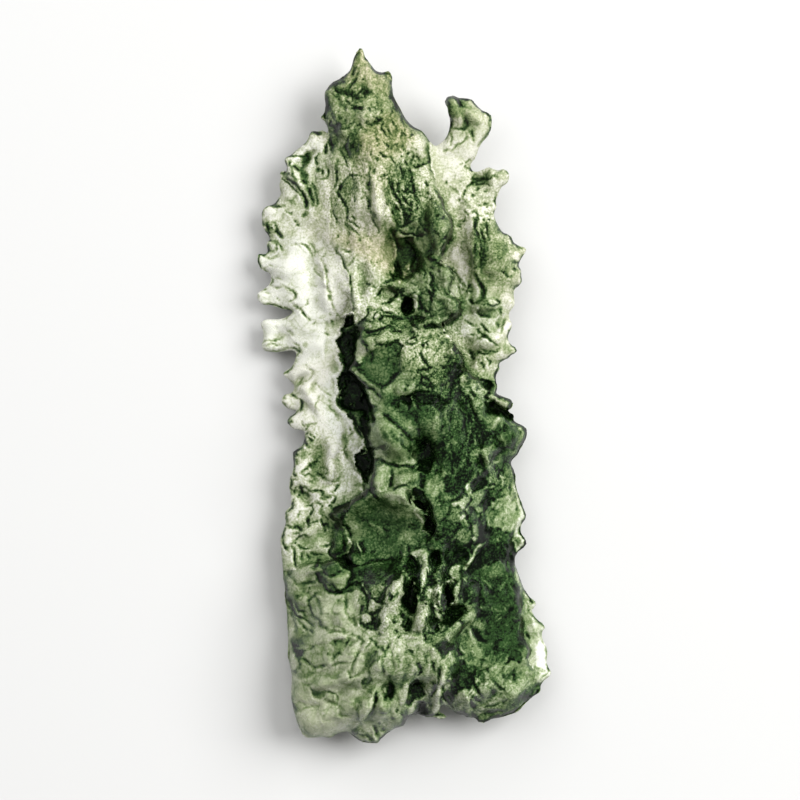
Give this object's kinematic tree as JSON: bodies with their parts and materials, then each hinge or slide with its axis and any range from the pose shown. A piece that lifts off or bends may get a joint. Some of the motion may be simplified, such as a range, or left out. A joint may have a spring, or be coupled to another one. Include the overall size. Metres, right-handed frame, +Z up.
{
  "type": "moldavite",
  "caption": "Leaf-shaped natural green tektite glass with a spire, thin spiny wings, a horn and a thick etched base, lying on its back.",
  "frame": {"origin": "The middle of the bounding box, at the bottom, on the surface that the stone lies on.", "axes": "+X across the stone to the wing with the horn, +Y from the base to the tip of the spire, +Z up out of the sculpted face."},
  "size_m": [0.0196, 0.0462, 0.0091],
  "materials": {
    "moldavite_glass": "natural bottle-green glass with a satin etched skin, nearly clear where it is thin and dark green where it is thick"
  },
  "bodies": {
    "root": {"moldavite": "moldavite_glass"}
  },
  "joints": []
}
